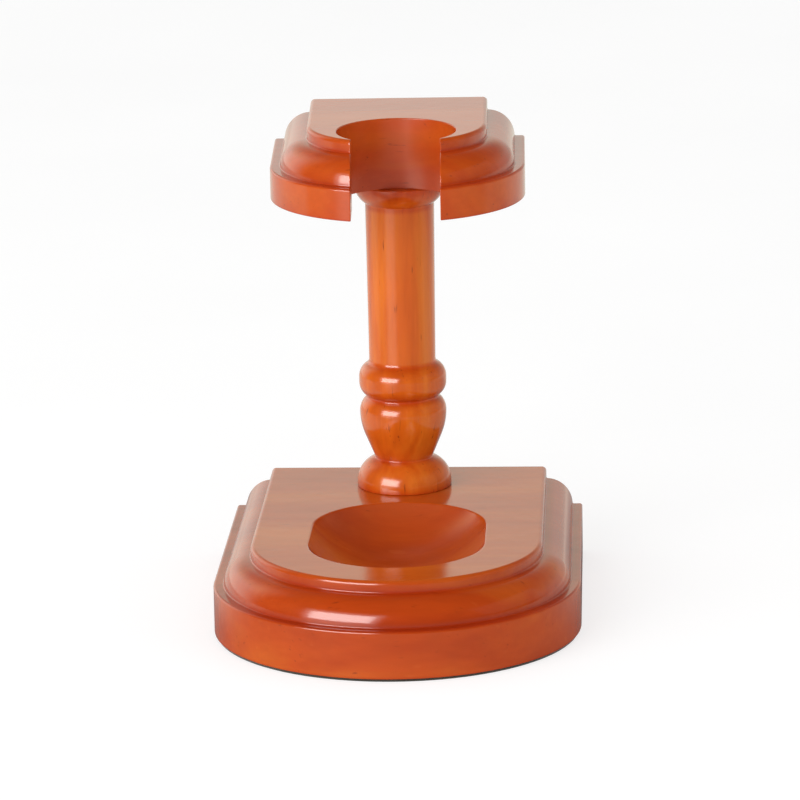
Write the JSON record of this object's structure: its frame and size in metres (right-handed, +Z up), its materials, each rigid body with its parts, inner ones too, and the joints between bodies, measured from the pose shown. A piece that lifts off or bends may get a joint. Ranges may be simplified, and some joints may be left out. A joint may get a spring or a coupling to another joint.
{
  "type": "razor stand",
  "caption": "Turned and moulded wooden stand: a slotted round opening on a column holds a razor or shaving brush by its neck above a dished base.",
  "frame": {"origin": "centre of the stand's footprint, on the surface that it stands on", "axes": "+Z up; +X to the right seen from the front; +Y from the round front towards the flat back, where the column stands"},
  "size_m": [0.1, 0.128, 0.1318],
  "materials": {
    "base_wood": "stained orange-brown, gloss lacquer",
    "column_wood": "stained orange-brown, gloss lacquer",
    "plate_wood": "stained orange-brown, gloss lacquer",
    "dowel_wood": "bare beech, glued in",
    "screw_steel": "zinc plated",
    "felt": "thin dark felt, glued on"
  },
  "bodies": {
    "root": {"base_felt": "felt", "base_block": "base_wood", "column": "column_wood", "top_plate": "plate_wood", "foot_screw": "screw_steel", "foot_washer": "screw_steel", "foot_dowels": "dowel_wood", "head_screw": "screw_steel", "head_dowels": "dowel_wood"}
  },
  "joints": []
}
